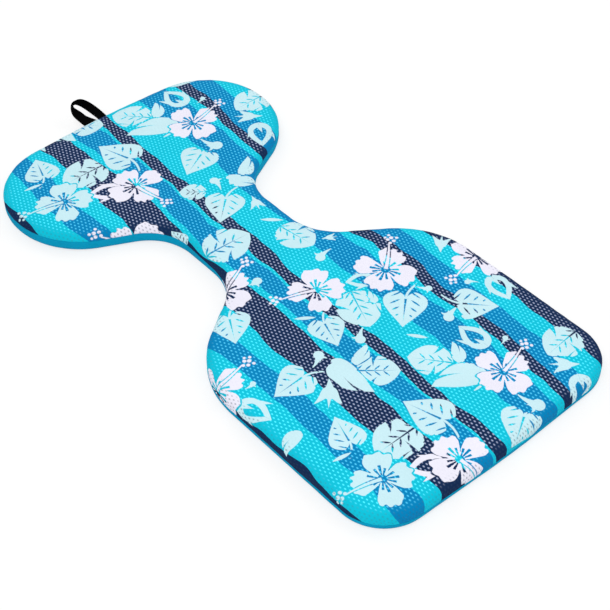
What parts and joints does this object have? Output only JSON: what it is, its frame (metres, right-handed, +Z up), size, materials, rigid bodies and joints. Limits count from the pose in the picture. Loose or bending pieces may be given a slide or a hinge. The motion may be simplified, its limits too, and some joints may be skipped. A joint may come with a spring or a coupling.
{
  "type": "pool saddle float",
  "caption": "Hourglass foam float seat for straddling in water, in a sewn cover of printed mesh over a plain base, with a webbing hang loop.",
  "frame": {"origin": "middle of the flat underside, half way along the board without its hang loop", "axes": "+Z up out of the printed top, +Y along the board towards the front lobe and its hang loop, +X to the right"},
  "size_m": [0.465, 0.947, 0.0358],
  "materials": {
    "foam": "closed-cell foam, fine skin, matt",
    "printed_mesh": "open knitted mesh with a printed pattern, matt",
    "plain_fabric": "plain knitted fabric, matt",
    "overlock": "overlocked cut edges, matt",
    "webbing": "woven webbing, matt",
    "thread": "sewing thread, slight sheen"
  },
  "bodies": {
    "board": {"core_upper_sheet": "foam", "core_lower_sheet": "foam", "top_cover": "printed_mesh", "bottom_cover": "plain_fabric", "seam_margin": "overlock", "loop_tails": "webbing", "loop_bar_tacks": "thread"},
    "loop": {"hang_loop": "webbing"}
  },
  "joints": [
    {"name": "loop_fold", "type": "hinge", "parent": "board", "child": "loop", "pos_m": [0, 0.44559, 0.018], "axis": [1, 0, 0], "range_deg": [-80, 80], "stiffness_Nm_per_rad": 0.004}
  ]
}
